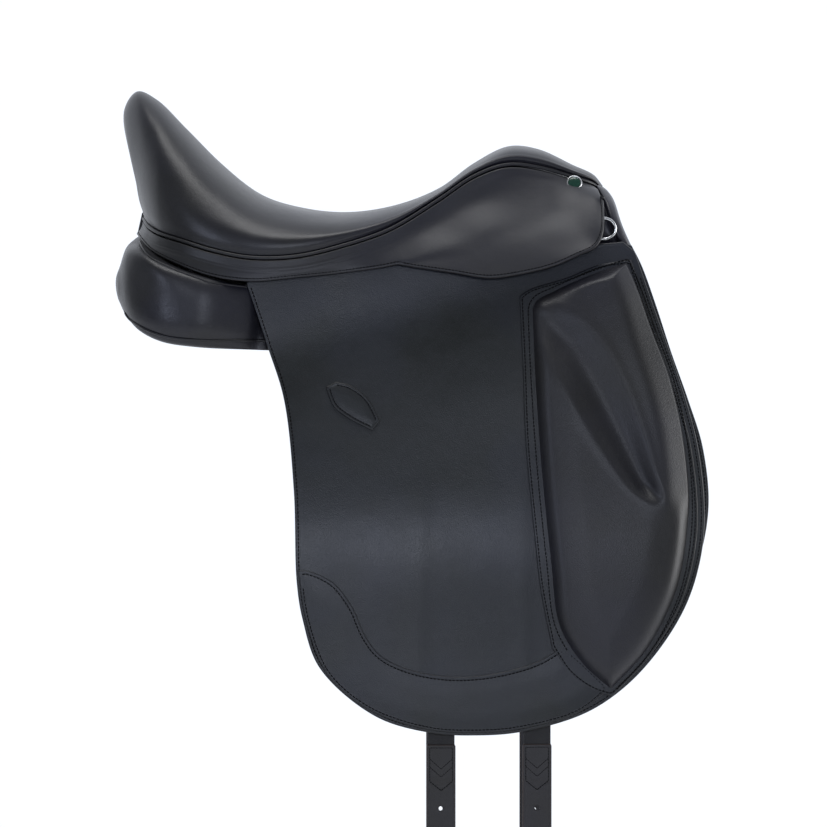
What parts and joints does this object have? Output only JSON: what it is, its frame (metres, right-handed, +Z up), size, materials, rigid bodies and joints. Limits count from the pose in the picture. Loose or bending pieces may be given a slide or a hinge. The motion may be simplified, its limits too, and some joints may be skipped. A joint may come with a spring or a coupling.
{
  "type": "english saddle",
  "caption": "Dressage saddle with a deep seat, long straight flaps with external thigh blocks, lifting skirts, stirrup bars, dee rings and long girth billets.",
  "frame": {"origin": "in the gullet channel on the centreline, where the spine passes under the deepest part of the seat", "axes": "+X to the horse's head, +Y to its left, +Z up"},
  "size_m": [0.5924, 0.395, 0.9088],
  "materials": {
    "seat_leather": "smooth black leather, satin",
    "flap_leather": "black leather, fine grain, matt satin",
    "block_leather": "black printed leather, pebbled",
    "panel_leather": "soft black leather, satin",
    "strap_leather": "black strap leather, brown cut edges",
    "webbing": "woven nylon webbing",
    "foam": "open-cell foam",
    "tree_laminate": "bonded laminate",
    "steel": "polished stainless steel",
    "enamel": "green enamel in a plated rim"
  },
  "bodies": {
    "saddle": {"tree": "tree_laminate", "gullet_plate": "steel", "seat_web_cross": "webbing", "seat_web_long": "webbing", "seat_foam": "foam", "seat_cover": "seat_leather", "seat_piping": "seat_leather", "front_facing": "panel_leather", "head_pad": "panel_leather", "cantle_band": "seat_leather", "tree_spring_left": "steel", "stirrup_bar_left": "steel", "latch_pin_left": "steel", "bar_rivet_rear_left": "steel", "bar_rivet_front_left": "steel", "skirt_left": "seat_leather", "saddle_nail_left": "enamel", "dee_tab_left": "strap_leather", "flap_upper_left": "flap_leather", "sweat_flap_left": "flap_leather", "panel_left": "panel_leather", "billet_web_rear_left": "webbing", "billet_web_front_left": "webbing", "tree_spring_right": "steel", "stirrup_bar_right": "steel", "latch_pin_right": "steel", "bar_rivet_rear_right": "steel", "bar_rivet_front_right": "steel", "skirt_right": "seat_leather", "saddle_nail_right": "enamel", "dee_tab_right": "strap_leather", "flap_upper_right": "flap_leather", "sweat_flap_right": "flap_leather", "panel_right": "panel_leather", "billet_web_rear_right": "webbing", "billet_web_front_right": "webbing"},
    "flap_left": {"flap_left": "flap_leather", "thigh_block_left": "block_leather", "block_border_left": "flap_leather", "wear_patch_left": "flap_leather", "strap_keeper_left": "flap_leather"},
    "skirt_lobe_left": {"skirt_lobe_left": "seat_leather"},
    "billet_rear_left": {"billet_rear_left": "strap_leather"},
    "billet_front_left": {"billet_front_left": "strap_leather"},
    "dee_ring_left": {"dee_ring_left": "steel"},
    "bar_latch_left": {"bar_latch_left": "steel"},
    "flap_right": {"flap_right": "flap_leather", "thigh_block_right": "block_leather", "block_border_right": "flap_leather", "wear_patch_right": "flap_leather", "strap_keeper_right": "flap_leather"},
    "skirt_lobe_right": {"skirt_lobe_right": "seat_leather"},
    "billet_rear_right": {"billet_rear_right": "strap_leather"},
    "billet_front_right": {"billet_front_right": "strap_leather"},
    "dee_ring_right": {"dee_ring_right": "steel"},
    "bar_latch_right": {"bar_latch_right": "steel"}
  },
  "joints": [
    {"name": "flap_lift_left", "type": "hinge", "parent": "saddle", "child": "flap_left", "pos_m": [0.09278, 0.1115, -0.02724], "axis": [0.9495, -0.1386, 0.2816], "range_deg": [0, 75]},
    {"name": "skirt_lift_left", "type": "hinge", "parent": "saddle", "child": "skirt_lobe_left", "pos_m": [0.14495, 0.09776, 0.04295], "axis": [0.9383, -0.181, 0.2946], "range_deg": [0, 70]},
    {"name": "billet_rear_bend_left", "type": "hinge", "parent": "saddle", "child": "billet_rear_left", "pos_m": [0.081, 0.1807, -0.467], "axis": [1, 0, 0], "range_deg": [-30, 60]},
    {"name": "billet_front_bend_left", "type": "hinge", "parent": "saddle", "child": "billet_front_left", "pos_m": [0.177, 0.16872, -0.467], "axis": [1, 0, 0], "range_deg": [-30, 60]},
    {"name": "dee_swing_left", "type": "hinge", "parent": "saddle", "child": "dee_ring_left", "pos_m": [0.241, 0.0825, 0.045], "axis": [0, 0, 1], "range_deg": [0, 35]},
    {"name": "latch_flip_left", "type": "hinge", "parent": "saddle", "child": "bar_latch_left", "pos_m": [0.124, 0.083, 0.038], "axis": [0, 1, 0], "range_deg": [0, 90]},
    {"name": "flap_lift_right", "type": "hinge", "parent": "saddle", "child": "flap_right", "pos_m": [0.09278, -0.1115, -0.02724], "axis": [-0.9495, -0.1386, -0.2816], "range_deg": [0, 75]},
    {"name": "skirt_lift_right", "type": "hinge", "parent": "saddle", "child": "skirt_lobe_right", "pos_m": [0.14495, -0.09776, 0.04295], "axis": [-0.9383, -0.181, -0.2946], "range_deg": [0, 70]},
    {"name": "billet_rear_bend_right", "type": "hinge", "parent": "saddle", "child": "billet_rear_right", "pos_m": [0.081, -0.1807, -0.467], "axis": [-1, 0, 0], "range_deg": [-30, 60]},
    {"name": "billet_front_bend_right", "type": "hinge", "parent": "saddle", "child": "billet_front_right", "pos_m": [0.177, -0.16872, -0.467], "axis": [-1, 0, 0], "range_deg": [-30, 60]},
    {"name": "dee_swing_right", "type": "hinge", "parent": "saddle", "child": "dee_ring_right", "pos_m": [0.241, -0.0825, 0.045], "axis": [0, 0, -1], "range_deg": [0, 35]},
    {"name": "latch_flip_right", "type": "hinge", "parent": "saddle", "child": "bar_latch_right", "pos_m": [0.124, -0.083, 0.038], "axis": [0, 1, 0], "range_deg": [0, 90]}
  ]
}
